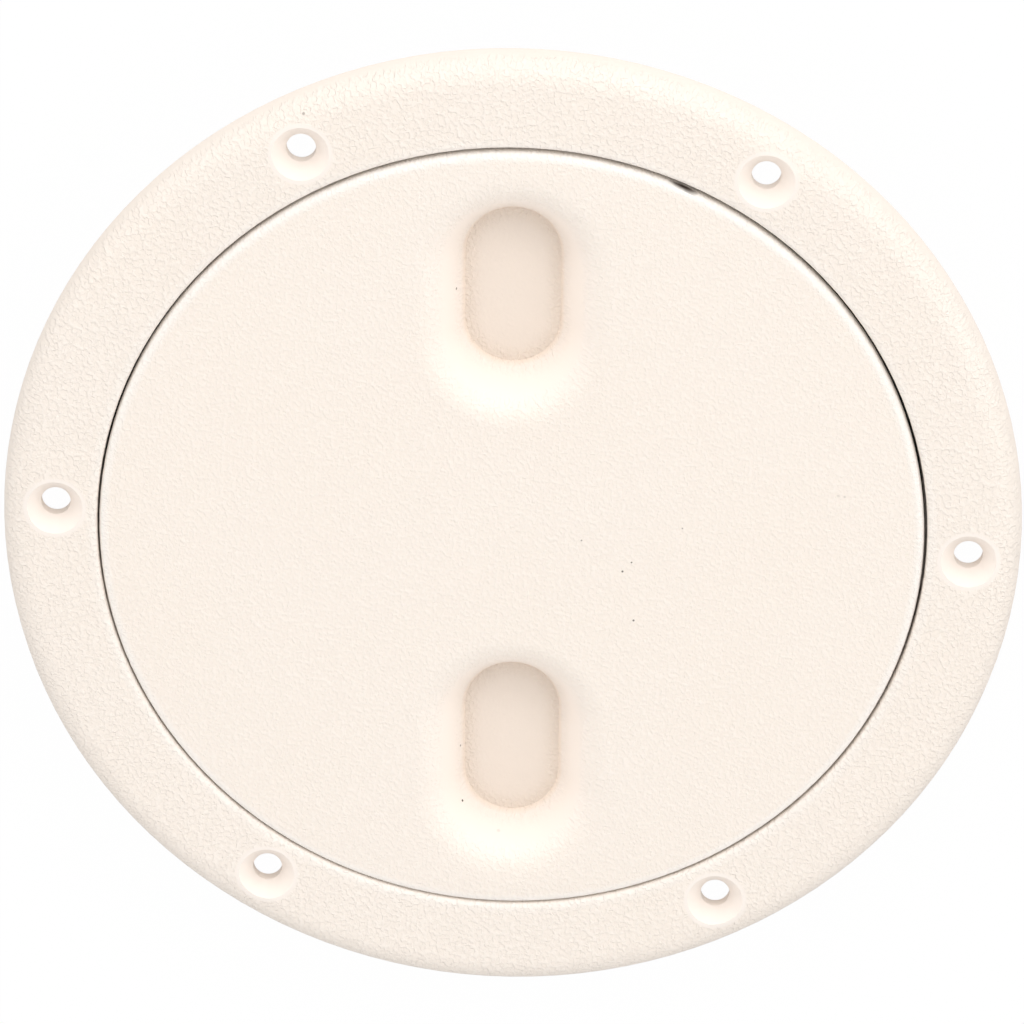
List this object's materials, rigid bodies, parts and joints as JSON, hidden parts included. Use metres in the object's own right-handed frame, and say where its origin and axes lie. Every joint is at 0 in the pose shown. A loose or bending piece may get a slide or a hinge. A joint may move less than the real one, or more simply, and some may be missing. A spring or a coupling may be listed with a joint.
{
  "type": "deck inspection plate",
  "caption": "Round screw-out deck inspection plate: countersunk mounting ring, flush lid with obround finger pockets, coarse thread and square-cut O-ring seal.",
  "frame": {"origin": "centre of the screw circle on the flange's underside, which is the deck surface", "axes": "+Z out of the deck along the plate's axis, +X through a screw hole, +Y near the line of the two finger pockets, which the closed lid holds 2.9 degrees past it"},
  "size_m": [0.2032, 0.2032, 0.026],
  "materials": {
    "ring_abs": "satin",
    "lid_abs": "satin",
    "seal_rubber": "matte"
  },
  "bodies": {
    "frame": {"mounting_ring": "ring_abs"},
    "seal": {"o_ring": "seal_rubber"},
    "lid": {"screw_lid": "lid_abs"}
  },
  "joints": [
    {"name": "lid_rise", "type": "slide", "parent": "frame", "child": "seal", "axis": [0, 0, 1], "range_m": [0, 0.012]},
    {"name": "lid_turn", "type": "hinge", "parent": "seal", "child": "lid", "pos_m": [-0.0001, -0.0003, 0], "axis": [0, 0, 1], "range_deg": [0, 720]}
  ],
  "couplings": [
    {"joint": "lid_rise", "follows": "lid_turn", "m_per_rad": 0.00095492}
  ]
}
